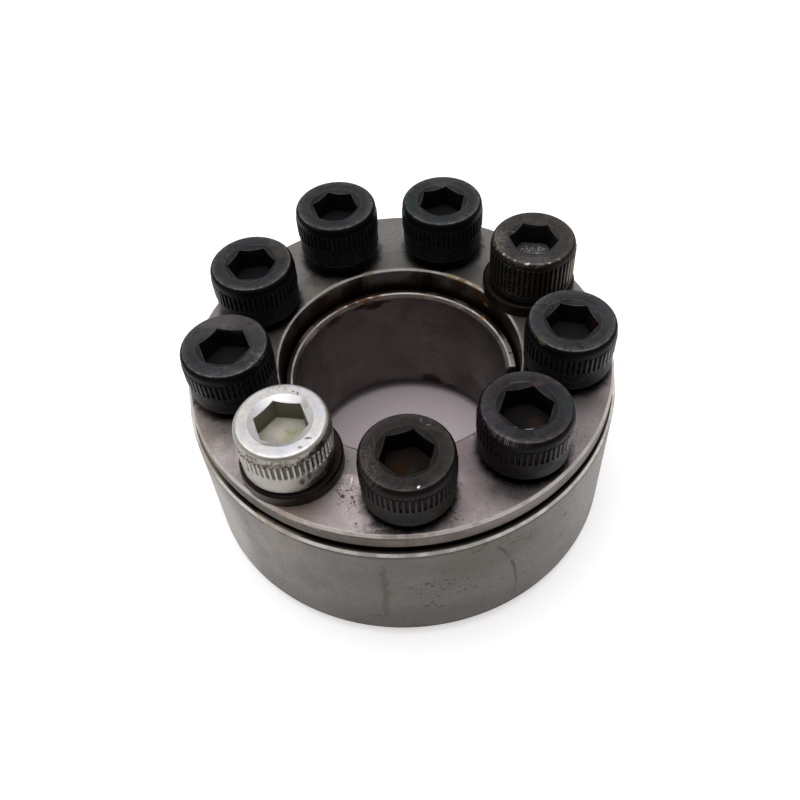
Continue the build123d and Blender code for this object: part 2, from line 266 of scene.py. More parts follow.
ring_finishes = {
    "front_thrust_ring": ground_steel(
        "ground_steel_front_ring", "#b2a8a7", "#8c8381", "#4a3a30",
        [
            # The face near the bore is darker: partly oil, partly painted shade between the heads.
            (13.0, 17.5, front_top - 0.1, front_top + 0.1, "#645d5b", 0.68, 0.08),
            (24.4, 24.6, front_top - 2.0, front_top - 0.33, "#453f38", 0.97, 0.08),
            (24.4, 24.6, front_top - 0.5, front_top - 0.36, "#332d27", 0.6, 0.06),
            (13.0, 14.3, 10.0, front_top - 0.35, "#221a14", 0.97, 0.08),
            (13.0, 14.3, 10.0, front_top - 2.4, "#57462f", 0.97, 0.8),
            (20.0, 24.2, 10.0, front_top - 1.9, "#1d1512", 0.95, 0.08),
        ],
        [
            ((0, 22, front_top), (32, 24, 3), "#7a7975", 0.75),
            ((11, -19, front_top), (13, 9, 2), "#786c70", 0.6),
            ((-8.5, -20.5, front_top), (5, 2.6, 1), "#a89a9e", 0.5),
            ((-6.9, -19.2, front_top), (0.3, 0.22, 1), DARK_RUST, 0.85),
            ((-5.9, -19.4, front_top), (0.2, 0.25, 1), DARK_RUST, 0.85),
            ((-5.7, -19.9, front_top), (0.22, 0.2, 1), "#5a2f24", 0.8),
            ((-6.2, -18.5, front_top), (0.6, 0.12, 1), "#6b4440", 0.7),
            ((-7.2, -17.6, front_top), (0.5, 0.1, 1), "#5f4a48", 0.7),
            ((-5.9, -17.3, front_top), (0.1, 0.7, 1), "#e6dcd8", 0.8),
            ((-6.9, -18.2, front_top), (0.08, 0.6, 1), "#e6dcd8", 0.6),
            ((-6.6, -16.4, front_top), (0.6, 0.1, 1), "#544846", 0.6),
            ((-5.6, -22.5, front_top), (0.15, 0.2, 1), DARK_RUST, 0.8),
            ((7.9, -23.0, front_top), (0.2, 0.3, 1), GRIME, 0.8),
            ((-3.6, -22.8, front_top), (0.9, 0.5, 1), "#3a3844", 0.6),
            (around(43, 14.1, 20.2), (1.8, 2.0, 1.0), "#6b430c", 0.8),
            (around(55, 14.1, 20.4), (1.6, 1.6, 0.9), "#4a3010", 0.8),
            (around(38, 14.1, 19.6), (0.45, 0.5, 0.3), "#e0b458", 0.95),
            (around(75, 14.1, 19.9), (3.0, 1.5, 1.2), "#33221a", 0.7),
            ((3.9, 13.5, 20.4), (3.0, 1.0, 0.5), "#3a2a28", 0.6),
            (around(112, 14.1, 20.0), (2.6, 1.2, 0.9), "#3b1f10", 0.8),
            (around(132, 14.1, 20.3), (2.4, 2.0, 0.9), "#2e1c10", 0.7),
            (around(222, 24.5, 20.3), (7.0, 7.0, 1.0), "#352c20", 0.7),
            (around(212, 24.5, 20.9), (2.0, 3.0, 0.4), "#7d6142", 0.6),
            (around(240, 24.5, 20.0), (2.5, 2.0, 0.4), "#5c4a35", 0.6),
            (around(270, 24.5, 20.4), (4.0, 2.0, 1.2), "#68615c", 0.6),
            (around(190, 16.0, front_top), (5.0, 6.0, 1.0), "#42403c", 0.5),
            (around(330, 22.0, front_top), (5.0, 5.0, 1.0), "#746b6d", 0.5),
            (around(291, 16.5, front_top), (3.0, 3.0, 1.0), "#6b5f63", 0.5),
            # Painted shadow of screw 9's head on the face, in front of its foot.
            ((10.8, -19.6, front_top), (3.2, 1.6, 1.0), "#5a5354", 0.6),
            ((14.8, -18.2, front_top), (2.4, 1.6, 1.0), "#5f5650", 0.5),
            ((-2.6, -24.0, front_top), (4.5, 0.7, 1.0), "#4a4444", 0.6),
        ],
        [(24.35, front_top - 0.15, 0.25), (14.25, front_top - 0.15, 0.15)], "#d2cac4",
        peppers=[
            ((-6.3, -19.0, front_top), (2.0, 2.6, 1), "#4a332e", 0.8),
            ((-2.6, -23.4, front_top), (2.8, 0.9, 1), "#3b3432", 0.7),
            ((4.4, -22.6, front_top), (1.8, 1.1, 1), "#4a2e25", 0.95),
            ((11.0, -18.5, front_top), (3.5, 3.0, 1), "#3a3233", 0.8),
            ((14.5, -17.5, front_top), (2.8, 2.2, 1), "#4f4436", 0.8),
            ((17.5, -14.5, front_top), (2.5, 2.5, 1), "#4a443c", 0.7),
            ((-11.0, -20.0, front_top), (4.0, 2.0, 1), "#6b5f5c", 0.6),
            ((0.0, 20.5, front_top), (18.0, 7.0, 1), "#4f4d4a", 0.35),
        ],
        # strength of the painted shadow under the screw heads
        head_shadow=0.96,
        overs=[
            (around(103, 14.2, front_top - 0.2), (0.9, 0.45, 0.5), "#8a7b68", 0.8),
            (around(60, 14.25, front_top - 0.2), (1.1, 0.6, 0.4), "#9a8c64", 0.8),
            (around(54, 14.2, front_top - 0.3), (1.0, 0.6, 0.4), "#7d6020", 0.85),
            (around(46, 14.2, front_top - 0.25), (0.8, 0.6, 0.4), "#a08a60", 0.7),
            (around(28, 14.2, front_top - 0.2), (0.8, 1.2, 0.4), "#7a706a", 0.7),
            (around(125, 14.2, front_top - 0.1), (3.0, 2.5, 0.5), "#a7a493", 0.5),
            (around(205, 24.4, front_top - 0.1), (2.0, 6.0, 0.5), "#8d7f74", 0.5),
            (around(238, 24.4, front_top - 0.1), (5.0, 3.0, 0.5), "#a08a78", 0.45),
        ],
    ),
    "outer_ring": ground_steel(
        "ground_steel_outer_ring", "#7a756f", "#67625d", "#4b3526",
        [
            (20.0, 24.6, 0.0, outer_top + 0.1, "#1f1713", 0.9, 0.08),
            # Painted shade: the outer wall darkens towards the table, over its lowest 4 mm and more over its
            # lowest 1.8 mm.
            (24.9, 25.1, -1.0, 4.0, "#4c4845", 0.5, 4.0),
            (24.9, 25.1, -1.0, 1.8, "#4c473f", 0.5, 1.2),
            (24.9, 25.1, outer_top - 0.62, outer_top - 0.4, "#332f2a", 0.7, 0.1),
        ],
        [
            # Painted shade: the part of the wall facing the front is darkened.
            ((6.0, -26, 10), (25, 12, 19), "#504d4a", 0.66),
            ((7.5, -25, 15), (7, 9, 4.5), "#45433a", 0.35),
            ((24, -7, 10), (6, 8, 12), "#6a6664", 0.6),
            # Painted sheen: the left of the wall is lighter.
            (around(208, 25, 8), (6, 8, 14), "#a9a49f", 0.5),
            (around(215, 25, 17.0), (8, 8, 1.6), "#6f6a63", 0.5),
            # Painted shade: the wall's front is darker near its foot.
            (around(275, 25, 2.0), (16, 10, 6), "#413e3a", 0.4),
            ((-3.4, -24.8, 12.5), (0.45, 2, 5.0), "#3c3b2a", 0.5),
            ((-3.3, -24.8, 10.5), (0.7, 2, 2.2), "#45412a", 0.35),
            ((-3.6, -24.8, 7.0), (0.4, 2, 3.5), "#3a3826", 0.45),
            ((-6.4, -24.2, 2.6), (1.5, 2, 0.7), "#403d24", 0.6),
            ((-4.3, -24.6, 4.6), (0.6, 2, 0.35), GRIME, 0.5),
            ((6.5, -24.1, 17.0), (0.6, 2, 0.2), DARK_RUST, 0.85),
            ((7.5, -23.8, 17.55), (0.6, 2, 0.16), "#3f2c1c", 0.9),
            ((8.6, -23.5, 17.2), (1.4, 2, 0.45), "#5f5640", 0.5),
            ((10.5, -22.7, 15.8), (0.45, 1, 0.22), GRIME, 0.95),
            ((10.9, -22.5, 16.4), (0.4, 1, 0.15), "#3f352b", 0.8),
            ((11.4, -22.3, 15.65), (0.6, 1.5, 0.35), "#54422a", 0.7),
            ((12.3, -21.8, 15.0), (0.5, 1, 0.22), "#3a3020", 0.9),
            ((12.6, -21.6, 15.6), (0.15, 1, 0.4), "#4a4030", 0.8),
            ((11.4, -22.3, 15.15), (0.3, 1, 0.16), "#6b5f44", 0.7),
            ((16.9, -18.4, 13.6), (0.4, 0.8, 0.6), "#3c382c", 0.85),
            ((16.8, -18.5, 9.5), (0.3, 0.6, 0.3), "#4c332e", 0.8),
            ((12.2, -21.8, 7.3), (0.3, 0.5, 0.3), "#423f3d", 0.7),
            ((1.2, -25.0, 12.3), (0.35, 1, 0.25), GRIME, 0.9),
            ((1.75, -25.0, 11.75), (0.35, 1, 0.18), GRIME, 0.85),
            ((0.5, -25.0, 11.0), (0.18, 1, 0.25), "#42241e", 0.9),
            ((2.9, -24.8, 10.4), (0.24, 1, 0.22), "#432a24", 0.85),
            ((0.5, -25.0, 10.1), (0.22, 1, 0.22), "#352d25", 0.8),
            ((3.3, -24.8, 12.5), (0.22, 1, 0.25), GRIME, 0.8),
            ((2.9, -24.8, 14.3), (0.3, 1, 0.18), "#3b3632", 0.7),
            ((5.3, -24.4, 9.5), (0.3, 1, 0.22), "#38322c", 0.8),
            ((-0.6, -25.0, 11.6), (0.3, 1, 0.2), "#3b322c", 0.8),
            ((3.6, -24.7, 11.5), (0.25, 1, 0.25), "#3b322c", 0.8),
            ((2.3, -24.9, 9.1), (0.3, 1, 0.22), "#44302a", 0.8),
            ((9.6, -23.1, 8.6), (0.22, 1, 0.24), "#38342c", 0.8),
            ((7.2, -23.9, 12.2), (0.2, 1, 0.22), "#44302a", 0.8),
            ((4.6, -24.6, 9.1), (0.25, 1, 0.22), "#3a332c", 0.8),
            ((4.7, -24.6, 10.4), (0.22, 1, 0.2), "#4a3932", 0.8),
            ((6.5, -24.1, 9.3), (0.25, 1, 0.22), "#38342c", 0.8),
            ((8.3, -23.6, 7.9), (0.35, 1, 0.28), "#45432f", 0.8),
            ((5.7, -24.4, 11.8), (0.28, 1, 0.22), "#4a302b", 0.7),
            ((1.5, -25.0, 7.45), (0.4, 1, 0.28), "#5f4c22", 0.85),
            ((1.0, -25.0, 7.1), (0.45, 1, 0.2), "#201912", 0.95),
            ((1.7, -25.0, 7.9), (0.28, 1, 0.15), "#2a2014", 0.9),
            ((2.0, -25.0, 7.1), (0.12, 1, 0.3), "#2a2014", 0.8),
            ((2.6, -24.9, 6.5), (0.6, 1, 0.16), "#3a3018", 0.8),
            ((4.8, -24.5, 1.9), (0.5, 1, 0.25), GRIME, 0.8),
            ((-1.3, -25.0, 2.2), (3.5, 2, 0.5), "#3d3925", 0.5),
            ((-16.1, -18.9, 18.3), (0.8, 0.8, 0.5), "#7a6642", 0.6),
            ((11.0, -22.3, 2.0), (4.0, 3, 0.8), "#403c33", 0.5),
        ],
        [(24.82, outer_top - 0.17, 0.23)], "#f0eae2",
        overs=[
            (around(207, 24.8, outer_top - 0.1), (2.4, 5.0, 0.6), "#8a7a5e", 0.5),
            (around(236, 24.8, outer_top - 0.1), (4.0, 3.0, 0.5), "#a09484", 0.5),
        ],
        scores=[((-12.6, 0, 5.8), 23.9, 4.0, 16.0, "#26241a", 0.85)],
        peppers=[
            ((3.0, -25, 10.5), (4.5, 4, 3.0), "#2d2622", 0.85),
            ((-3.0, -25, 3.5), (6.0, 4, 2.0), "#38331f", 0.6),
            ((11.0, -22.5, 15.5), (3.0, 3, 2.0), "#3a3022", 0.7),
            ((15.0, -20.0, 10.0), (6.0, 5, 6.0), "#403b38", 0.5),
            ((10.0, -23.0, 17.3), (7.0, 5, 0.6), "#2f261d", 0.7),
            ((5.0, -24.5, 5.0), (5.0, 4, 2.0), "#3a352a", 0.6),
            ((3.0, -25, 8.0), (20.0, 10, 11.0), "#4a4642", 0.45),
        ],
    ),
    "inner_ring": ground_steel(
        "ground_steel_inner_ring", "#6a6260", "#574f4d", "#4a3f39",
        [
            (12.95, 13.7, outer_top - 0.05, outer_top + 0.1, "#332a26", 0.9, 0.08),
            (13.7, 16.0, 0.0, outer_top + 0.1, "#4a3a2c", 0.9, 0.08),
            # Painted shade: the foot of the bore, beside the table, is near black.
            (12.0, 12.6, -1.0, 1.2, "#15100e", 0.9, 2.0),
        ],
        [
            ((13.1, 1.0, 18.4), (1.4, 5.0, 0.6), "#a9a09a", 0.95),
            ((-2.9, 12.2, 17.3), (1.5, 1.0, 0.7), "#1c1310", 0.9),
            ((-4.6, 11.8, 17.7), (1.4, 1.0, 0.4), "#221611", 0.85),
            ((-1.6, 12.4, 17.7), (1.2, 0.8, 0.3), "#251a16", 0.8),
            ((-8.0, 9.8, 17.6), (1.6, 1.6, 0.7), "#33180f", 0.75),
            ((12.2, 1.0, 7.0), (2.0, 6.0, 8.0), "#2b2726", 0.6),
            ((9.5, 8.5, 4.0), (4.0, 4.0, 3.5), "#2f2a2a", 0.5),
            ((-6.6, 10.8, 14.0), (4.0, 3.0, 4.5), "#5a5a52", 0.5),
            ((4.3, 11.8, 2.6), (1.8, 1.5, 0.9), "#1f110d", 0.9),
            ((7.1, 10.3, 2.0), (1.9, 1.9, 0.6), "#241510", 0.8),
            ((-10.5, 6.0, 8.0), (3.5, 3.5, 6.0), "#453331", 0.4),
            ((-3.0, 12.2, 8.0), (8.0, 3.0, 7.0), "#5c5454", 0.4),
        ],
        [(12.98, outer_top - 0.04, 0.16)], "#cdc4c0",
        overs=[
            (around(116, 13.0, 18.45), (0.9, 0.6, 0.35), "#4a2c12", 0.9),
            (around(109, 13.0, 18.45), (1.1, 0.5, 0.35), "#5c360e", 0.9),
            (around(101, 13.0, 18.45), (0.8, 0.4, 0.35), "#6b441a", 0.85),
            (around(107, 12.5, 17.95), (2.4, 0.8, 0.35), "#3d2208", 0.7),
            (around(123, 13.0, 18.45), (0.7, 0.6, 0.35), "#6f5a48", 0.7),
            (around(148, 13.1, 18.4), (1.6, 2.6, 0.5), "#a39894", 0.6),
            (around(70, 13.0, 18.45), (1.1, 0.6, 0.35), "#8a8262", 0.6),
            (around(52, 13.0, 18.45), (1.2, 1.2, 0.35), "#8f8882", 0.6),
            (around(36, 13.0, 18.45), (0.5, 0.5, 0.35), "#9a7d4c", 0.7),
        ],
    ),
    "rear_thrust_ring": ground_steel("ground_steel_rear_ring", "#958e89", "#77706c", "#4a3428", [], []),
}
for node, material in ring_finishes.items():
    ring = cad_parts[node].data
    ring.materials.clear()
    ring.materials.append(material)


# ---------------------------------------------------------------- socket head cap screws
# M6 x 20 screws, cold-headed with a straight knurl and a punched hexagon, then threaded by rolling
# and black-oxidised. One has been replaced by a zinc-plated screw, one has lost most of its black.
# Each turns in a tapped hole of the rear ring and rides on the front ring through its joint.

SEAT_HEIGHTS = {2: 23.15, 7: 23.15, 5: 23.3, 6: 22.9}
BLACK_SEAT = 22.5
SOCKET_TURNS = (13.0, 48.0, 50.0, 2.0, 48.0, 15.0, 47.0, 45.5, 8.0)
HEAD_RADIUS = 4.9
HEAD_HEIGHT = 6.0
TOP_INSET = 0.5
TOP_DROP = 0.65
FOOT_ROUNDING = 0.3
MOUTH_RADII = {2: 3.35, 7: 3.0}
BLACK_MOUTH = 3.15
HEX_HALF_WIDTH = 2.5
SOCKET_FLOOR = HEAD_HEIGHT - 3.0
MOUTH_SLOPE = 1.9
TEETH = 52
COLUMNS_PER_TOOTH = 6
CREST_RADIUS = 5.0
GROOVE_DEPTH = 0.27
THREAD_RADIUS = 3.0
THREAD_DEPTH = 0.55
PITCH = 1.0
SHANK_LENGTH = 20.0
TIP_INSET = 0.8
THREAD_COLUMNS = 48
SHARP_ANGLE = radians(19)
HIDDEN_IN_HEAD = 0.6
KNURL_BANDS = {7: (0.8, 5.2)}
SHORT_KNURL = (2.5, 4.8)


def smooth(value, low, high):
    """Smooth step: 0 below low, 1 above high, 3t^2 - 2t^3 between."""
    t = np.clip((value - low) / (high - low), 0.0, 1.0)
    return t * t * (3 - 2 * t)


def closed_skin(radius, height, angles):
    """Quads of a skin round Z, with a point at each pole.

    radius and height are (rows, columns) arrays, rows running from the bottom pole to the top
    pole; column j stands at angles[j]. Point (i, j) is (r cos a, r sin a, z).
    """
    rows, columns = radius.shape
    points = np.stack([radius * np.cos(angles), radius * np.sin(angles), height], axis=-1).reshape(-1, 3)
    first = (np.arange(rows - 1)[:, None] * columns + np.arange(columns)).ravel()
    beside = (np.arange(rows - 1)[:, None] * columns + np.roll(np.arange(columns), -1)).ravel()
    quads = np.stack([first, beside, beside + columns, first + columns], axis=-1)
    poles = np.array([[0, 0, height[0].mean()], [0, 0, height[-1].mean()]])
    low, high = len(points), len(points) + 1
    bottom = np.stack([np.full(columns, low), np.roll(np.arange(columns), -1), np.arange(columns)], axis=-1)
    last = (rows - 1) * columns
    rim, next_on_rim = last + np.arange(columns), last + np.roll(np.arange(columns), -1)
    top = np.stack([np.full(columns, high), rim, next_on_rim], axis=-1)
    return np.concatenate([points, poles]), quads, np.concatenate([bottom, top])


def screw_head(band, turn, mouth):
    """Head with its underside at z = 0, in millimetres, and what each of its points wears.

    A row is a ring of points. Outside, the radius is the profile's, less a groove of depth
    d * g(a) * b(z): g repeats once a tooth and b fades at the ends of the knurled band. Inside
    the mouth the radius is the hexagon's, half width / cos(angle from the middle of its side).
    The marks are three shares from 0 to 1: rubbed corner (on the rim also a painted highlight),
    soiled hollow, side of the head (which takes a painted shade).
    """
    columns = TEETH * COLUMNS_PER_TOOTH
    turned = np.arange(columns) * 2 * pi / columns
    flat = np.ones(columns)
    hexagon = HEX_HALF_WIDTH / np.cos(turned % (pi / 3) - pi / 6)
    wave = np.clip(1.7 * (0.5 - 0.5 * np.cos(turned * TEETH)) - 0.45, 0.0, 1.0)
    rows, marks = [], []

    def row(radius, height, rubbed_and_highlit, soiled, side):
        rows.append((radius * flat, height * flat))
        marks.append((rubbed_and_highlit * flat, soiled * flat, side * flat))

    quarter = np.radians(np.linspace(0, 90, 9))
    low, high = band
    row(THREAD_RADIUS * 0.9, 0, 0, 1, 1)
    row(HEAD_RADIUS - FOOT_ROUNDING - 0.05, 0, 0, 0.5, 1)
    for a in quarter:
        row(HEAD_RADIUS - FOOT_ROUNDING * (1 - sin(a)), FOOT_ROUNDING * (1 - cos(a)), 0.3, 0.1, 1)
    row(HEAD_RADIUS, FOOT_ROUNDING + 0.06, 0.1, 0.1, 1)
    row(HEAD_RADIUS, low - 0.03, 0.1, 0.1, 1)
    for z in np.concatenate([np.linspace(low, low + 0.5, 5), np.linspace(high - 0.4, high, 5)]):
        fade = smooth(z, low, low + 0.4) * (1 - smooth(z, high - 0.3, high))
        swell = smooth(z, low, low + 0.12) * (1 - smooth(z, high - 0.12, high))
        belly = HEAD_RADIUS + (CREST_RADIUS - HEAD_RADIUS) * swell
        row(belly - GROOVE_DEPTH * fade * wave, z, 0.12 * swell * (1 - wave), 0.3 * fade * wave, 1)
    row(HEAD_RADIUS, high + 0.03, 0.1, 0.3, 1)
    for a in quarter:
        # Painted highlight: near the top of the rim's rounding a band is marked rubbed, so it takes the
        # bright tone where a lamp would catch the rim.
        rubbed_and_highlit = max(0.0, 1 - abs(a - radians(79)) / radians(15))
        radius, height = HEAD_RADIUS - TOP_INSET * (1 - cos(a)), HEAD_HEIGHT - TOP_DROP * (1 - sin(a))
        row(radius, height, rubbed_and_highlit, 0, min(1, 1.6 * cos(a) ** 0.5))
    row(HEAD_RADIUS - TOP_INSET - 0.12, HEAD_HEIGHT, 0.3, 0, 0)
    row(HEAD_RADIUS - TOP_INSET - 0.5, HEAD_HEIGHT, 0.1, 0, 0)
    row(mouth + 0.12, HEAD_HEIGHT, 0.05, 0, 0)
    for share, rubbed_and_highlit, soiled in ((0, 0.35, 0.1), (0.15, 0.05, 0.35), (0.85, 0.05, 0.35), (1, 0.6, 0.1)):
        radius = mouth + (hexagon - mouth) * share
        row(radius, HEAD_HEIGHT - (mouth - radius) / MOUTH_SLOPE, rubbed_and_highlit, soiled, 0)
    meeting = HEAD_HEIGHT - (mouth - hexagon) / MOUTH_SLOPE
    row(hexagon, meeting - 0.08, 0.1, 0.9, 0)
    row(hexagon, SOCKET_FLOOR + 0.1, 0, 1, 0)
    row(hexagon - 0.06, SOCKET_FLOOR, 0, 1, 0)
    for share in (0.8, 0.55, 0.25):
        row(HEX_HALF_WIDTH * share, SOCKET_FLOOR - 0.5 * (1 - share), 0, 0.4, 0)
    radius, height = (np.array(part) for part in zip(*rows))
    marks = np.array(marks).transpose(0, 2, 1).reshape(-1, 3)
    skin = closed_skin(radius, height, turned + radians(turn))
    return skin, np.concatenate([marks, [[0, 1, 1], [0, 0.4, 0]]])


def thread_skin(low, high, seat, turn):
    """Right-hand thread between two heights under a head's seat, in millimetres.

    The phase z/pitch - angle/2 pi is the same all along a helix. The radius is the crest's less
    the depth times a clipped triangle wave of the phase.
    """
    angles = np.arange(THREAD_COLUMNS) * 2 * pi / THREAD_COLUMNS
    height = np.arange(low, high + 1e-6, PITCH / 8)[:, None] * np.ones(THREAD_COLUMNS)
    phase = ((height - seat) / PITCH - (angles - radians(turn)) / (2 * pi)) % 1
    flank = np.clip(np.abs(phase - 0.5) * 2 * 1.35 - 0.2, 0.0, 1.0)
    return THREAD_RADIUS - THREAD_DEPTH * flank, height, angles


def screw_shank(seat, turn):
    """Threaded shank with a rounded-off tip, as a closed skin with its top inside the head."""
    radius, height, angles = thread_skin(seat - SHANK_LENGTH, seat + HIDDEN_IN_HEAD, seat, turn)
    above_tip = height - (seat - SHANK_LENGTH)
    radius = np.minimum(radius, THREAD_RADIUS - TIP_INSET + above_tip)
    return closed_skin(radius, height, angles)


def make_piece(name, parts, body, marks):
    """Object of several skins joined, in metres, with named marks as attributes of its points."""
    points, faces, counts = [], [], []
    start = 0
    for skin_points, quads, caps in parts:
        points.append(skin_points)
        faces += [quads.ravel() + start, caps.ravel() + start]
        counts += [np.full(len(quads), 4), np.full(len(caps), 3)]
        start += len(skin_points)
    points, faces, counts = (np.concatenate(part) for part in (points, faces, counts))
    mesh = bpy.data.meshes.new(name)
    mesh.vertices.add(len(points))
    mesh.loops.add(len(faces))
    mesh.polygons.add(len(counts))
    mesh.vertices.foreach_set("co", (points * MM).ravel())
    mesh.loops.foreach_set("vertex_index", faces.astype(np.int32))
    mesh.polygons.foreach_set("loop_start", (np.cumsum(counts) - counts).astype(np.int32))
    mesh.polygons.foreach_set("use_smooth", np.ones(len(counts), bool))
    mesh.update(calc_edges=True)
    mesh.validate()
    mesh.set_sharp_from_angle(angle=SHARP_ANGLE)
    for name_of_mark, values in marks.items():
        kind, field = ("FLOAT_VECTOR", "vector") if values.ndim == 2 else ("FLOAT", "value")
        attribute = mesh.attributes.new(name_of_mark, kind, "POINT")
        attribute.data.foreach_set(field, values.astype(np.float32).ravel())
    piece = bpy.data.objects.new(name, mesh)
    bpy.context.scene.collection.objects.link(piece)
    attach(piece, body)
    return piece


RIM_DIRT, RIM_DIRT_TINT, RIM_LUMP_TINT = (4.3, 5.55), "#9a958b", "#4b4036"
MOUTH_FOOT, MOUTH_REACH, SOCKET_REACH = (5.55 * MM, 5.65 * MM), (3.3 * MM, 3.4 * MM), (2.85 * MM, 2.9 * MM)


def on_head(number, angle, away, height):
    """Place in millimetres at a bearing (degrees) and distance round a screw's axis, height over its seat."""
    x = SCREW_CIRCLE * cos(bearing(number)) + away * cos(radians(angle))
    y = SCREW_CIRCLE * sin(bearing(number)) + away * sin(radians(angle))
    return x, y, SEAT_HEIGHTS.get(number, BLACK_SEAT) + height


def on_heads(rows):
    """Marks from rows of (screw, bearing, distance, height, half sizes, colour, strength)."""
    return [(on_head(*row[:4]), *row[4:]) for row in rows]


def screw_finish(
    name, tones, tints, rough, metallic, specular, scuff, spots=(), crests=(), hollows=(),
    nicks=None, clots=0.0, peppers=(), mouth_dirt_vs_highlight=1.0,
):
    """Plated or blackened screw.

    tones are the colours, in order, of the top, its mottle, the side, the rubbed corners, the
    hollows and the socket's floor. The side's tone, darker than the top's, is painted shade; the
    rubbed corners' tone also paints the rim's highlight. tints are two cloudy colours on the top.
    stains are rows as in on_heads(); crests and hollows are the same, held to the rubbed corners and
    the grooves. nicks is one such row, of fine radial nicks. clots is the strength of dirt under the
    rim. peppers are stains of fine grit. mouth_dirt_vs_highlight is the share of dirt kept on the mouth's
    cone;
    the rest of the cone is painted lighter, a painted highlight.
    """
    top, dull, side, bright, socket, bottom = (colour(tone) for tone in tones)
    material, tree, place = new_material(name)
    rubbed_and_highlit, soiled, flank = (
        add(tree, "Attribute", {}, attribute_name=mark).outputs["Fac"]
        for mark in ("rubbed_and_highlit", "soiled", "side")
    )
    local = add(tree, "Attribute", {}, attribute_name="local").outputs["Vector"]
    parts = add(tree, "SeparateXYZ", {"Vector": local}).outputs
    across = add(tree, "CombineXYZ", {"X": parts["X"], "Y": parts["Y"]}).outputs[0]
    radius = add(tree, "VectorMath", {0: across}, operation="LENGTH").outputs["Value"]
    patches = grain(tree, place, 2.2 * MM, 5.0, 0.7)
    grit = grain(tree, place, 0.2 * MM, 2.0, 0.7)
    paint = blend(tree, ramp(tree, patches, 0.35, 0.65), top, dull)
    for tint, size in zip(tints, (1.3, 1.9)):
        cloud = ramp(tree, grain(tree, place, size * MM, 3.0), 0.48, 0.64, 0.0, 0.75)
        paint = blend(tree, cloud, paint, colour(tint))
    paint = blend(tree, ramp(tree, grit, 0.45, 0.75, 0.0, 0.6), paint, dull)
    # Painted shade: the head below the top's edge takes the darker side tone, and reflects less (gloss
    # below).
    paint = blend(tree, times(tree, flank, 0.97), paint, side)
    if clots:
        belt = times(tree, band(tree, parts["Z"], *RIM_DIRT, 0.2), ramp(tree, radius, 4.5 * MM, 4.65 * MM))
        paint = blend(tree, times(tree, belt, 0.6), paint, colour(RIM_DIRT_TINT))
        lumps = ramp(tree, grain(tree, place, 0.5 * MM, 4.0, 0.75), 0.46, 0.56, 0.0, clots)
        paint = blend(tree, times(tree, belt, lumps), paint, colour(RIM_LUMP_TINT))
    # Rubbed corners take the bright tone: wear, and on the rim a painted highlight.
    worn = times(tree, rubbed_and_highlit, ramp(tree, grain(tree, place, 0.6 * MM, 4.0), 0.35, 0.65, 0.3, scuff))
    paint = blend(tree, worn, paint, bright)
    if nicks:
        outward = add(tree, "VectorMath", {0: across}, operation="NORMALIZE").outputs[0]
        wide = add(tree, "VectorMath", {0: outward, 1: (0.03,) * 3}, operation="MULTIPLY").outputs[0]
        [(spot, size, tint, strength)] = on_heads([nicks])
        mask = blot(tree, place, spot, size)
        mask = times(tree, mask, ramp(tree, grain(tree, wide, 0.5 * MM, 1.0), 0.5, 0.62, 0.0, strength))
        mask = times(tree, mask, ramp(tree, radius, 4.15 * MM, 4.4 * MM))
        paint = blend(tree, mask, paint, colour(tint))
    high_up = ramp(tree, parts["Z"], *MOUTH_FOOT)
    cone = times(tree, high_up, ramp(tree, radius, *MOUTH_REACH, 1.0, 0.0))
    kept = times(tree, soiled, ramp(tree, cone, 0.0, 1.0, 0.9, 0.9 * mouth_dirt_vs_highlight))
    # Painted highlight: where the mouth's cone keeps no dirt it is blended towards the bright tone.
    paint = blend(tree, times(tree, cone, 0.5 * (1 - mouth_dirt_vs_highlight)), paint, bright)
    paint = blend(tree, kept, paint, socket)
    within = ramp(tree, radius, *SOCKET_REACH, 1.0, 0.0)
    inside = times(tree, within, ramp(tree, parts["Z"], 1.0 * MM, 2.0 * MM))
    near_floor = ramp(tree, parts["Z"], SOCKET_FLOOR * MM, (SOCKET_FLOOR + 0.1) * MM, 1.0, 0.0)
    floor_share = times(tree, inside, near_floor)
    paint = blend(tree, times(tree, floor_share, 0.85), paint, bottom)
    paint = with_spots(tree, place, paint, on_heads(spots))
    paint = with_spots(tree, place, paint, on_heads(crests), ramp(tree, rubbed_and_highlit, 0.03, 0.1))
    paint = with_spots(tree, place, paint, on_heads(hollows), times(tree, ramp(tree, soiled, 0.06, 0.3), flank))
    crumbs = ramp(tree, grain(tree, place, 0.22 * MM, 2.0, 0.7), 0.52, 0.6)
    paint = with_spots(tree, place, paint, on_heads(peppers), crumbs)
    shine = ramp(tree, grit, 0.2, 0.9, rough - 0.08, rough + 0.1)
    deep = ramp(tree, times(tree, soiled, floor_share, "MAXIMUM"), 0.4, 0.9)
    metal = ramp(tree, deep, 0.0, 1.0, metallic, 0.15 * metallic)
    gloss = ramp(tree, times(tree, flank, deep, "MAXIMUM"), 0.0, 1.0, specular, 0.15 * specular)
    return finish_steel(tree, material, paint, shine, grit, metal, gloss)


def black_finish(name, numbers, tones, tints, scuff, spots, crests, **more):
    """Black oxide that shows the steel where worn; the knurl's grooves are painted lighter against their
    shade.
    """
    # Painted light: the knurl's grooves of each head get a lighter grey, against the shade in them.
    groove_lightening = [(number, 0, 0, 3.7, (6.0, 6.0, 1.7), "#3a383b", 0.75) for number in numbers]
    return screw_finish(name, tones, tints, 0.5, 0.4, 0.2, scuff, spots, crests, groove_lightening, **more)


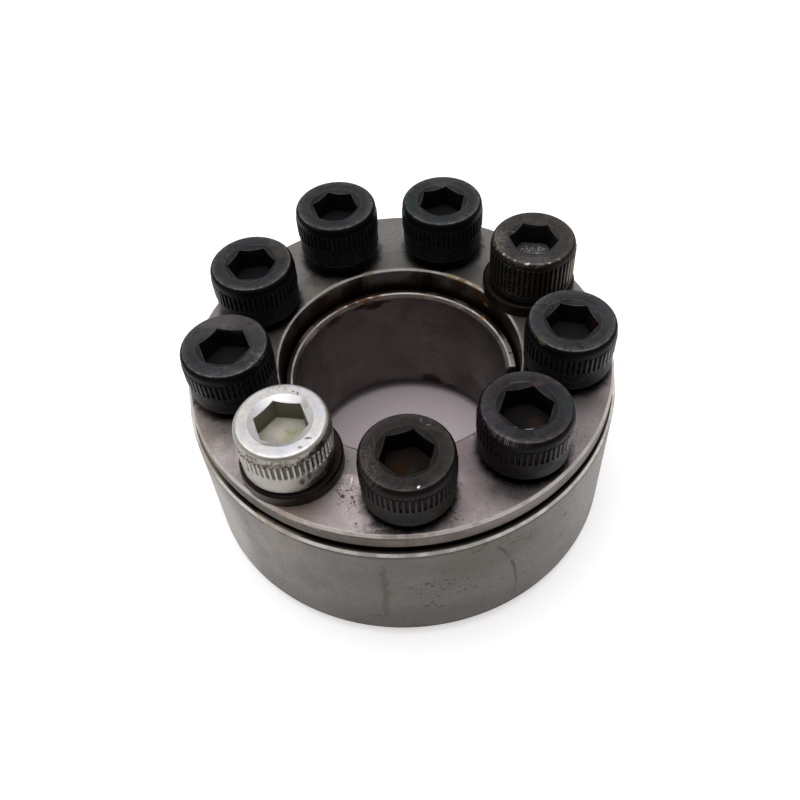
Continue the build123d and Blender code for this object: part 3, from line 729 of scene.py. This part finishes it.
black = black_finish(
    "black_oxide_steel", (3, 4, 5, 6, 8), ("#252527", "#1d1e20", "#0f0e10", "#7b7b7c", "#0d0c0e", "#1c1b1d"),
    ("#2b3130", "#302a30"), 0.85,
    [
        # Painted reflection: the far half of screw 3's top and its far rim are lighter.
        (3, 90, 2.0, 6.0, (5.2, 4.2, 0.5), "#454143", 0.75),
        (3, 110, 3.9, 6.0, (3.5, 1.2, 0.5), "#5a5557", 0.6),
        (3, 240, 5.0, 1.4, (2.4, 1.6, 1.2), "#22221e", 0.7),
        (3, 48, 3.9, 6.0, (0.2, 0.2, 0.3), "#1c1a1c", 0.9),
        (3, 335, 4.3, 6.0, (0.1, 0.25, 0.3), "#8a8884", 0.7),
        (3, 318, 4.3, 6.0, (0.15, 0.1, 0.3), "#8a8884", 0.6),
        # Painted highlight: a lighter band on the front of screw 3's top.
        (3, 270, 3.6, 6.0, (2.5, 0.75, 0.12), "#4b4a4e", 0.5),
        # Painted reflection: screw 4's far rim is lighter.
        (4, 95, 3.8, 6.0, (2.0, 1.0, 0.3), "#3d343c", 0.8),
        (4, 25, 3.6, 6.0, (1.0, 1.6, 0.3), "#413c39", 0.7),
        (4, 50, 3.9, 6.0, (0.8, 0.6, 0.3), "#3f4a48", 0.7),
        (4, 195, 3.7, 6.0, (1.0, 1.6, 0.3), "#2a2f27", 0.6),
        (5, 110, 3.8, 6.0, (2.0, 0.8, 0.3), "#2b2f26", 0.7),
        (5, 25, 3.6, 6.0, (0.9, 1.8, 0.3), "#30332a", 0.7),
        (5, 255, 3.8, 6.0, (2.5, 0.8, 0.3), "#242d2c", 0.7),
        (6, 90, 3.8, 6.0, (3.0, 1.2, 0.4), "#414344", 0.7),
        (6, 185, 3.8, 6.0, (1.0, 2.6, 0.4), "#263131", 0.7),
        (6, 250, 3.7, 6.0, (1.4, 0.9, 0.4), "#283232", 0.6),
        # Painted shade: the front of the tops of screws 5, 6 and 8 is darker.
        (5, 270, 3.6, 6.0, (2.2, 0.75, 0.12), "#131314", 0.55),
        (6, 272, 3.6, 6.0, (1.8, 0.75, 0.12), "#141416", 0.5),
        (8, 270, 3.6, 6.0, (2.4, 0.75, 0.12), "#111013", 0.6),
        (8, 20, 3.8, 6.0, (1.4, 2.5, 0.4), "#403c40", 0.7),
        (8, 195, 3.8, 6.0, (1.2, 2.4, 0.4), "#38343a", 0.6),
        (8, 215, 4.5, 5.9, (0.5, 0.9, 0.4), "#4b483a", 0.6),
        (8, 0, 2.5, 4.5, (0.3, 1.2, 1.2), "#2a1715", 0.8),
        (8, 318, 5.0, 1.2, (1.4, 1.6, 1.1), "#1b1e1d", 0.7),
    ],
    [
        # Lighter knurl crests: partly rubbed steel, partly a painted highlight where light catches the knurl.
        (3, 222, 5.0, 3.7, (2.0, 2.6, 1.6), "#66635f", 0.75),
        (4, 205, 5.0, 3.7, (1.4, 2.0, 1.6), "#8f8f92", 0.8),
        (8, 325, 5.0, 3.7, (1.8, 3.0, 1.8), "#86868a", 0.8),
        (8, 292, 5.0, 3.7, (1.5, 1.5, 1.6), "#4e4c50", 0.7),
        (6, 350, 5.0, 3.7, (0.8, 1.4, 1.6), "#5b5a5c", 0.6),
    ],
    peppers=[
        (3, 330, 4.0, 6.0, (1.6, 1.6, 0.6), "#5f5c59", 0.5),
        (3, 180, 3.9, 6.0, (1.2, 3.0, 0.6), "#3a3d3a", 0.5),
        (4, 150, 3.9, 6.0, (2.0, 2.4, 0.6), "#4a4a48", 0.5),
        (8, 130, 4.0, 6.0, (2.0, 2.4, 0.6), "#4f4c50", 0.5),
        (8, 320, 4.9, 3.4, (2.0, 2.4, 1.8), "#5c5c5e", 0.35),
        (3, 235, 4.9, 2.0, (2.4, 2.0, 2.0), "#45433f", 0.5),
    ],
)
olive_black = black_finish(
    "scuffed_black_oxide_steel", (1,), ("#211d1c", "#181616", "#161413", "#625b57", "#0b0908", "#1e1614"),
    ("#262826", "#2d2225"), 0.7,
    [
        (1, 178, 1.1, 2.7, (1.3, 1.3, 0.5), "#2d1d10", 0.8),
        (1, 0, 0.3, 2.7, (0.6, 0.6, 0.4), "#2b2422", 0.7),
        # Painted glint on screw 1's rim.
        (1, 282, 4.3, 6.0, (0.16, 0.16, 0.3), "#ffffff", 1.0),
        (1, 212, 4.75, 4.9, (0.08, 0.08, 0.45), "#8e8c80", 0.7),
        (1, 219, 4.75, 4.9, (0.08, 0.08, 0.4), "#8e8c80", 0.6),
        (1, 190, 3.8, 6.0, (0.5, 1.8, 0.3), "#352d2b", 0.6),
        (1, 197, 4.1, 6.0, (0.05, 0.9, 0.3), "#5f5a55", 0.6),
        (1, 212, 3.8, 6.0, (0.05, 0.6, 0.3), "#5b5650", 0.6),
        (1, 160, 3.3, 6.0, (0.06, 1.2, 0.3), "#4a4541", 0.6),
        (1, 172, 3.6, 6.0, (0.05, 0.8, 0.3), "#554f4a", 0.5),
        (1, 45, 3.7, 6.0, (0.9, 0.3, 0.3), "#3f302e", 0.6),
        (1, 52, 3.8, 6.0, (0.3, 0.07, 0.3), "#7a7573", 0.8),
        (1, 66, 4.0, 6.0, (0.07, 0.25, 0.3), "#7a7076", 0.7),
        (1, 255, 5.0, 1.3, (2.6, 1.4, 1.2), "#17191d", 0.5),
        (1, 296, 4.9, 1.2, (0.8, 0.8, 0.6), "#2c231e", 0.7),
        (1, 300, 4.9, 1.6, (0.4, 0.4, 0.25), "#0e0c0f", 0.8),
        (1, 275, 4.9, 1.2, (0.7, 0.4, 0.3), "#0e0c0f", 0.7),
        (1, 310, 4.9, 0.6, (0.9, 0.9, 0.7), "#2c1a16", 0.8),
        # Painted shade: the front of screw 1's top is darker.
        (1, 270, 3.6, 6.0, (2.6, 0.75, 0.12), "#0f0d0d", 0.6),
        (1, 232, 4.9, 3.0, (1.6, 1.2, 2.4), "#2c2a28", 0.6),
    ],
    [(1, 255, 5.0, 3.6, (3.5, 1.5, 1.8), "#3a3836", 0.5)],
    nicks=(1, 215, 4.4, 6.0, (1.6, 2.2, 0.8), "#5a534e", 0.6),
    peppers=[
        (1, 200, 4.0, 6.0, (1.6, 3.0, 0.8), "#4d4742", 0.6),
        (1, 230, 4.9, 2.0, (2.4, 2.4, 2.4), "#3a3733", 0.4),
    ],
)
violet_black = black_finish(
    "violet_black_oxide_steel", (9,), ("#252125", "#1a181b", "#121013", "#6a6366", "#0a090a", "#191617"),
    ("#30292c", "#262b2d"), 0.7,
    [
        (9, 330, 1.3, 2.7, (1.6, 1.5, 0.5), "#241d18", 0.8),
        (9, 15, 1.1, 2.7, (1.0, 1.0, 0.5), "#2c221c", 0.7),
        # Painted shade: the front of screw 9's top is darker.
        (9, 270, 3.6, 6.0, (2.2, 0.75, 0.12), "#0f0e0f", 0.55),
        # Painted highlights: a glint on the near edge of screw 9's socket and a bright line along the far
        # edge of its mouth.
        (9, 268, 2.75, 5.8, (0.6, 0.1, 0.3), "#a09e9c", 0.9),
        (9, 240, 2.8, 5.8, (0.3, 0.1, 0.3), "#7a7876", 0.8),
        (9, 95, 3.2, 6.0, (1.4, 0.09, 0.3), "#5c5654", 0.7),
        (9, 60, 3.2, 6.0, (0.9, 0.35, 0.3), "#47383a", 0.6),
        (9, 350, 4.0, 6.0, (0.9, 2.0, 0.4), "#2b3332", 0.7),
        (9, 200, 3.9, 6.0, (0.9, 1.8, 0.4), "#3b343b", 0.6),
        (9, 318, 4.9, 1.6, (0.8, 0.8, 0.4), "#08070a", 0.8),
        (9, 308, 4.9, 1.0, (0.6, 0.6, 0.3), "#08070a", 0.7),
        (9, 290, 4.9, 0.8, (1.6, 1.4, 1.0), "#343132", 0.6),
    ],
    [
        # Lighter knurl crests: partly rubbed steel, partly a painted highlight where light catches the knurl.
        (9, 335, 5.0, 3.7, (1.8, 2.2, 2.0), "#8b8784", 0.8),
        (9, 305, 5.0, 3.7, (1.6, 1.8, 1.8), "#5c585c", 0.6),
    ],
    nicks=(9, 238, 4.4, 6.0, (2.6, 2.2, 0.8), "#787172", 0.65),
    peppers=[
        (9, 200, 4.2, 5.9, (2.0, 3.5, 0.8), "#4a4448", 0.5),
        (9, 318, 4.9, 3.0, (2.4, 2.4, 2.4), "#5a5558", 0.5),
    ],
)
zinc = screw_finish(
    "zinc_plated_steel", ("#cbc9cd", "#b5b2b2", "#a39f97", "#efeeed", "#56532f", "#c2bbae"),
    ("#cfc6b8", "#b9b9c8"), 0.38, 0.8, 0.5, 0.7,
    [
        (2, 318, 3.75, 6.0, (0.5, 0.14, 0.3), "#4a4340", 0.9),
        (2, 71, 3.75, 6.0, (0.14, 0.14, 0.3), "#3d3a34", 0.9),
        (2, 63, 3.65, 6.0, (0.12, 0.25, 0.3), "#3d3a34", 0.9),
        (2, 95, 4.2, 6.0, (1.6, 0.25, 0.3), "#b9b2ac", 0.6),
        (2, 40, 3.1, 5.9, (0.5, 1.0, 0.4), "#a89c96", 0.6),
        (2, 250, 3.0, 5.9, (1.6, 0.3, 0.4), "#8f8b84", 0.5),
        (2, 300, 4.1, 6.0, (0.3, 0.2, 0.3), "#5a524a", 0.7),
        (2, 178, 0.7, 2.9, (0.14, 0.14, 0.3), "#2e2a24", 0.9),
        (2, 40, 1.4, 2.7, (1.2, 0.9, 0.3), "#9a9f7c", 0.6),
        (2, 0, 0.4, 2.5, (1.0, 1.4, 0.4), "#9aa07a", 0.4),
        (2, 180, 3.9, 6.0, (0.9, 2.4, 0.3), "#b0acab", 0.5),
        (2, 222, 4.9, 2.4, (0.16, 0.16, 0.5), "#45423a", 0.9),
        (2, 227, 4.9, 2.1, (0.3, 0.3, 0.13), "#45423a", 0.8),
        (2, 226, 4.9, 2.7, (0.13, 0.13, 0.2), "#45423a", 0.8),
        (2, 225, 4.9, 0.7, (0.5, 0.5, 0.2), "#8d6a55", 0.6),
        (2, 238, 4.9, 0.9, (0.3, 0.3, 0.15), "#8d6a55", 0.5),
        (2, 308, 4.9, 0.6, (1.4, 1.4, 0.8), "#3a362f", 0.85),
        (2, 290, 4.9, 1.6, (0.35, 0.35, 0.6), "#34302a", 0.85),
        (2, 300, 4.9, 2.0, (0.25, 0.25, 0.7), "#34302a", 0.85),
        (2, 340, 4.9, 0.9, (1.6, 2.4, 1.5), "#1f1b18", 0.92),
        (2, 350, 4.9, 4.9, (1.0, 2.0, 0.8), "#2f2b22", 0.85),
        (2, 322, 4.75, 5.0, (0.7, 0.7, 0.5), "#2c2a1e", 0.9),
        (2, 308, 4.75, 5.2, (0.4, 0.4, 0.3), "#2c2a1e", 0.8),
        (2, 296, 4.75, 5.0, (0.3, 0.3, 0.4), "#43302c", 0.85),
    ],
    [
        (2, 322, 5.0, 3.7, (2.6, 3.0, 1.8), "#f0eee9", 0.8),
    ],
    [
        (2, 320, 4.8, 3.7, (3.0, 3.4, 2.4), "#15120f", 0.95),
        (2, 272, 4.8, 3.7, (2.4, 1.5, 2.0), "#55514a", 0.7),
    ],
    clots=0.9,
    peppers=[
        (2, 0, 0, 3.0, (2.6, 2.6, 0.5), "#837d66", 0.6),
        (2, 215, 4.9, 1.0, (2.0, 2.6, 1.4), "#7a6f60", 0.6),
        (2, 270, 4.9, 1.6, (3.0, 1.2, 1.4), "#8a867c", 0.6),
        (2, 318, 4.8, 4.9, (2.2, 2.6, 0.8), "#2a2620", 0.9),
        (2, 90, 4.4, 6.0, (4.0, 0.8, 0.5), "#8f8a84", 0.6),
        (2, 150, 3.9, 6.0, (1.6, 3.0, 0.5), "#aaa69c", 0.5),
        (2, 318, 4.9, 1.6, (2.0, 2.4, 1.4), "#2a2620", 0.8),
    ],
    mouth_dirt_vs_highlight=0.15,
)
worn_black = screw_finish(
    "worn_black_steel", ("#3c3836", "#2a2725", "#24201d", "#8c8378", "#0c0a0c", "#4a484a"),
    ("#383b33", "#4a4148"), 0.5, 0.45, 0.3, 0.5,
    [
        (7, 95, 3.7, 6.0, (1.4, 0.5, 0.3), "#5c524a", 0.7),
        (7, 213, 4.5, 5.9, (0.16, 0.16, 0.3), "#cfc7b4", 0.9),
        (7, 222, 4.5, 5.9, (0.12, 0.12, 0.3), "#b5ab9c", 0.9),
        (7, 233, 4.5, 5.9, (0.16, 0.14, 0.3), "#d8d0bf", 0.9),
        (7, 252, 4.5, 5.9, (0.32, 0.16, 0.3), "#e2dccb", 1.0),
        (7, 270, 4.5, 5.95, (0.6, 0.1, 0.3), "#a69c88", 0.9),
        (7, 283, 4.5, 5.95, (0.35, 0.1, 0.3), "#b6ac98", 0.9),
        (7, 300, 4.5, 5.95, (0.3, 0.14, 0.3), "#8f8778", 0.9),
        (7, 150, 3.0, 5.8, (0.8, 0.12, 0.3), "#8a8372", 0.8),
        (7, 178, 3.0, 5.8, (0.1, 0.6, 0.3), "#8a8372", 0.7),
        (7, 0, 0, 6.0, (6.0, 6.0, 0.5), "#3d3b38", 0.4),
        (7, 262, 3.9, 6.0, (2.6, 0.9, 0.4), "#5a575a", 0.6),
        (7, 90, 3.8, 6.0, (2.6, 0.9, 0.4), "#332f2b", 0.6),
        (7, 90, 0.6, 2.8, (1.6, 1.2, 0.8), "#5c5a5e", 0.7),
        (7, 240, 4.9, 2.6, (2.0, 1.2, 2.4), "#2b2a26", 0.6),
        (7, 225, 4.9, 4.6, (0.9, 0.6, 0.5), "#24301f", 0.7),
    ],
    [
        (7, 330, 5.0, 3.2, (1.6, 3.0, 2.4), "#a39b88", 0.85),
        (7, 300, 5.0, 3.4, (1.4, 1.6, 2.2), "#57524c", 0.7),
        (7, 250, 5.0, 3.2, (2.4, 1.2, 2.2), "#34312d", 0.6),
    ],
    peppers=[
        (7, 0, 0, 6.0, (6.0, 6.0, 0.6), "#141211", 0.75),
        (7, 90, 0.8, 2.8, (2.4, 1.8, 0.9), "#a8a8ac", 0.95),
        (7, 235, 4.9, 3.0, (3.0, 2.6, 3.2), "#6f6a5e", 0.5),
        (7, 180, 4.2, 6.0, (1.2, 3.0, 0.8), "#8c8674", 0.6),
    ],
)
screw_finishes = {1: olive_black, 2: zinc, 7: worn_black, 9: violet_black}

for number in range(1, SCREW_COUNT + 1):
    centre = np.array([SCREW_CIRCLE * cos(bearing(number)), SCREW_CIRCLE * sin(bearing(number)), 0.0])
    seat, turn = SEAT_HEIGHTS.get(number, BLACK_SEAT), SOCKET_TURNS[number - 1]
    knurl, mouth = KNURL_BANDS.get(number, SHORT_KNURL), MOUTH_RADII.get(number, BLACK_MOUTH)
    (points, quads, caps), worn = screw_head(knurl, turn, mouth)
    head = (points + centre + [0, 0, seat], quads, caps)
    shank_points, shank_quads, shank_caps = screw_shank(seat, turn)
    shank = (shank_points + centre, shank_quads, shank_caps)
    worn = np.concatenate([worn, np.tile([0.2, 0.3, 1.0], (len(shank_points), 1))])
    local = np.concatenate([points, shank_points - [0, 0, seat]]) * MM
    marks = {"rubbed_and_highlit": worn[:, 0], "soiled": worn[:, 1], "side": worn[:, 2], "local": local}
    piece = make_piece(f"cap_screw_{number}_turned", [head, shank], f"screw_{number}", marks)
    piece.data.materials.append(screw_finishes.get(number, black))
    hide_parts(f"cap_screw_{number}")


# ---------------------------------------------------------------- push-off washers
# Stamped steel washers lie over the two push-off holes, held only by the heads of screws 2 and 7.
# They are dark with old oil.

washer_finish = ground_steel("oiled_washer_steel", "#2a2422", "#1f1a19", "#3a2a22", [], [])
for number in (2, 7):
    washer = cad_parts[f"push_off_washer_{number}"].data
    washer.materials.clear()
    washer.materials.append(washer_finish)


# ---------------------------------------------------------------- floor, light and camera
# The assembly stands on a white table under one large soft lamp, with pale walls all round.
# The table glows a little where it is seen clear of the part, so that it stays white. Under the
# part it is painted a darker mauve-grey and does not glow, a painted shade seen through the bore.

floor_mesh = bpy.data.meshes.new("floor")
FLOOR_HALF = 3.0
TABLE_GLOW = 0.45
UNDER_PART, CLEAR_OF_PART = 14 * MM, 24 * MM
corners = [(x * FLOOR_HALF, y * FLOOR_HALF, 0) for x, y in ((-1, -1), (1, -1), (1, 1), (-1, 1))]
floor_mesh.from_pydata(corners, [], [(0, 1, 2, 3)])
floor = bpy.data.objects.new("floor", floor_mesh)
bpy.context.scene.collection.objects.link(floor)
floor_paint, tree, place = new_material("white_table")
path = add(tree, "LightPath", {}).outputs
seen = times(tree, path["Is Camera Ray"], path["Is Glossy Ray"], "MAXIMUM")
seen = times(tree, seen, path["Is Transmission Ray"], "MAXIMUM")
table = add(tree, "VectorMath", {0: place}, operation="LENGTH").outputs["Value"]
# Painted shade: the table is darker and mauve-grey under the part, and glows only clear of it.
table_clear_of_painted_shade = ramp(tree, table, UNDER_PART, CLEAR_OF_PART)
matt = add(tree, "BsdfDiffuse", {"Color": blend(tree, table_clear_of_painted_shade, colour("#e0d2d7"), colour("#f2f0f1"))})
lit = times(tree, times(tree, seen, TABLE_GLOW), table_clear_of_painted_shade)
glow = add(tree, "Emission", {"Color": colour("#ffffff"), "Strength": lit})
both = add(tree, "AddShader", {0: matt.outputs[0], 1: glow.outputs[0]})
add(tree, "OutputMaterial", {"Surface": both.outputs[0]})
floor_mesh.materials.append(floor_paint)

world = bpy.data.worlds.new("pale_room")
bpy.context.scene.world = world
world.use_nodes = True
tree = world.node_tree
tree.nodes.clear()
facing = add(tree, "SeparateXYZ", {"Vector": add(tree, "TexCoord", {}).outputs["Generated"]}).outputs
behind = ramp(tree, facing["Y"], -0.95, -0.45, 0.12, 0.6)
room = add(tree, "Background", {"Color": colour("#ffffff"), "Strength": behind})
seen = add(tree, "LightPath", {}).outputs["Is Camera Ray"]
white = add(tree, "Background", {"Color": colour("#ffffff"), "Strength": 1.0})
mixed = add(tree, "MixShader", {0: seen, 1: room.outputs[0], 2: white.outputs[0]})
add(tree, "OutputWorld", {"Surface": mixed.outputs[0]})

lamp = bpy.data.lights.new("soft_lamp", "AREA")
lamp.shape = "DISK"
lamp.size = 0.5
lamp.energy = 1.15
lamp_place = bpy.data.objects.new("soft_lamp", lamp)
lamp_place.location = (-0.05, 0.03, 0.45)
lamp_place.rotation_mode = "QUATERNION"
lamp_place.rotation_quaternion = (Vector((0, 0, 0.02)) - lamp_place.location).to_track_quat("-Z", "Y")
bpy.context.scene.collection.objects.link(lamp_place)

# The camera stands 104 mm from the middle of the front ring's face and 48 degrees above it, looks
# down at 51 degrees and is rolled 4 degrees.
CAMERA_PLACE = (0.0, -0.069361, 0.098390)
CAMERA_TARGET = (-0.000324, -0.007020, 0.0215)
CAMERA_ROLL = radians(-4.35)
lens = bpy.data.cameras.new("camera")
lens.sensor_width = 36.0
lens.lens = 40.07
lens.clip_start = 0.001
camera = bpy.data.objects.new("camera", lens)
camera.location = CAMERA_PLACE
camera.rotation_mode = "QUATERNION"
line_of_sight = Vector(CAMERA_TARGET) - Vector(CAMERA_PLACE)
camera.rotation_quaternion = line_of_sight.to_track_quat("-Z", "Y") @ Quaternion((0, 0, 1), CAMERA_ROLL)
bpy.context.scene.collection.objects.link(camera)
bpy.context.scene.camera = camera
bpy.context.scene.view_settings.view_transform = "Standard"
